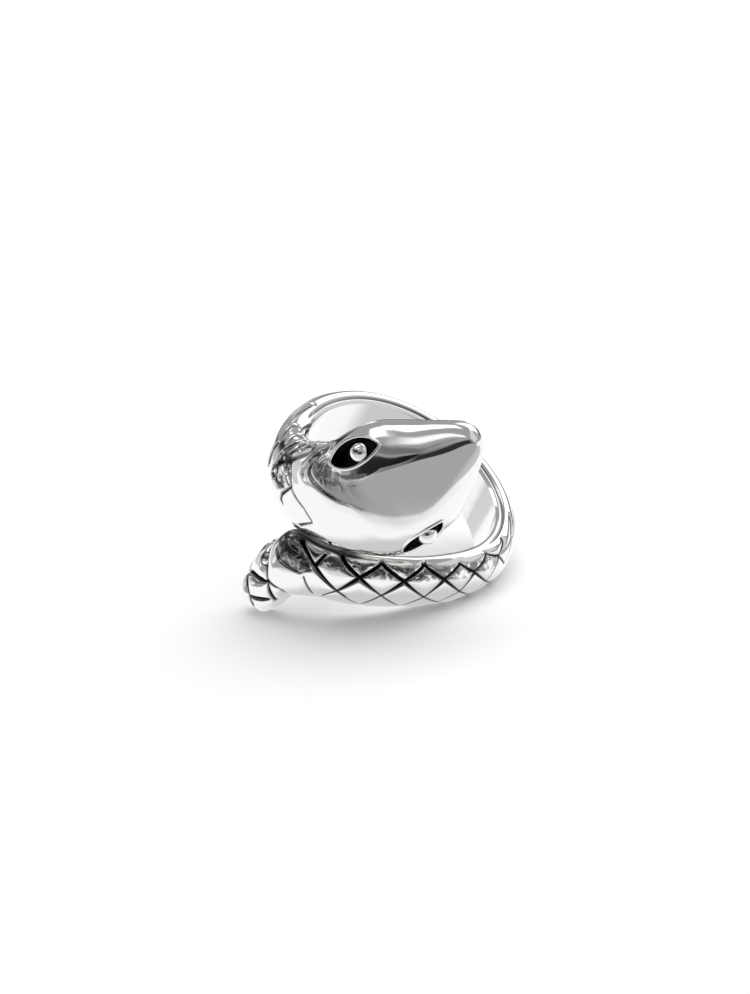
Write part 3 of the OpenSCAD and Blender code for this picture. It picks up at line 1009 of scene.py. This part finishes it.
def card(name, azimuth, elevation, half_wide, half_high, radiance, soft):
    """Studio card facing the ring, sized by the angles that it fills and soft at its edges."""
    w, h = CARD_AWAY * np.tan(deg(half_wide)), CARD_AWAY * np.tan(deg(half_high))
    obj, nt, glow, coord = glowing_plane(name, w, h, radiance=radiance)
    scaled = add_node(nt, "VectorMath", {"operation": "DIVIDE"})
    scaled.inputs[1].default_value = (w, h, 1)
    nt.links.new(coord, scaled.inputs[0])
    size = add_node(nt, "VectorMath", {"operation": "ABSOLUTE"})
    nt.links.new(scaled.outputs["Vector"], size.inputs[0])
    split = add_node(nt, "SeparateXYZ")
    nt.links.new(size.outputs["Vector"], split.inputs["Vector"])
    far = add_math(nt, "MAXIMUM", split.outputs["X"], split.outputs["Y"])
    fade = add_range(nt, far, True, From_Min=1 - soft, From_Max=1)
    clear = add_node(nt, "BsdfTransparent")
    both = add_node(nt, "MixShader")
    nt.links.new(fade, both.inputs["Fac"])
    nt.links.new(glow.outputs["Emission"], both.inputs[1])
    nt.links.new(clear.outputs["BSDF"], both.inputs[2])
    nt.links.new(both.outputs["Shader"], nt.nodes["Material Output"].inputs["Surface"])
    d = Vector(direction(azimuth, elevation).tolist())
    obj.matrix_world = Matrix.Translation(d * CARD_AWAY) @ d.to_track_quat("Z", "Y").to_matrix().to_4x4()


def mirrored_table():
    """The table as the metal sees it: bright near the ring, less so towards the camera and in the ring's shade."""
    _, nt, glow, coord = glowing_plane("mirrored_table", MIRRORED_HALF, MIRRORED_HALF, height=-MIRRORED_DROP)
    split = add_node(nt, "SeparateXYZ")
    nt.links.new(coord, split.inputs["Vector"])
    away = add_node(nt, "VectorMath", {"operation": "LENGTH"})
    nt.links.new(coord, away.inputs["Vector"])
    near = add_range(nt, split.outputs["Y"], True, **TABLE_NEAR)
    shade = add_range(nt, away.outputs["Value"], True, **TABLE_SHADE)
    nt.links.new(add_math(nt, "MULTIPLY", near, shade), glow.inputs["Strength"])


def area_light(name, azimuth, elevation, distance, size, power):
    d = Vector(direction(azimuth, elevation).tolist())
    light = bpy.data.lights.new(name, "AREA")
    light.shape = "DISK"
    light.size = size
    light.energy = power
    obj = bpy.data.objects.new(name, light)
    obj.location = d * distance
    obj.rotation_euler = d.to_track_quat("Z", "Y").to_euler()
    obj.visible_glossy = False
    bpy.context.scene.collection.objects.link(obj)


def make_stage():
    bpy.ops.mesh.primitive_plane_add(size=4, location=(0, 0, 0))
    floor = bpy.context.object
    floor.name = "table"
    floor.data.materials.append(plain("table_white", TABLE_WHITE))
    floor.visible_glossy = False
    mirrored_table()
    world = bpy.data.worlds.new("studio")
    bpy.context.scene.world = world
    world.use_nodes = True
    bg = world.node_tree.nodes["Background"]
    bg.inputs["Color"].default_value = (1, 1, 1, 1)
    bg.inputs["Strength"].default_value = WORLD_LIGHT
    for values in CARDS:
        card(*values)
    for values in LIGHTS:
        area_light(*values)
    bpy.context.scene.view_settings.view_transform = "Standard"


# ---------------------------------------------------------------- the scene
make_camera()
ring = make_ring()
ring.data.materials.clear()
ring.data.materials.append(carved_silver("silver_polished"))
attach(ring, "root")
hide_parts("snake_ring")
bead_silver = polished_silver("silver_bead")[0]
for side, name in ((1, "left"), (-1, "right")):
    bead = make_bead(side, "bead_" + name)
    bead.data.materials.append(bead_silver)
    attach(bead, "root")
    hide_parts("eye_" + name)
make_stage()
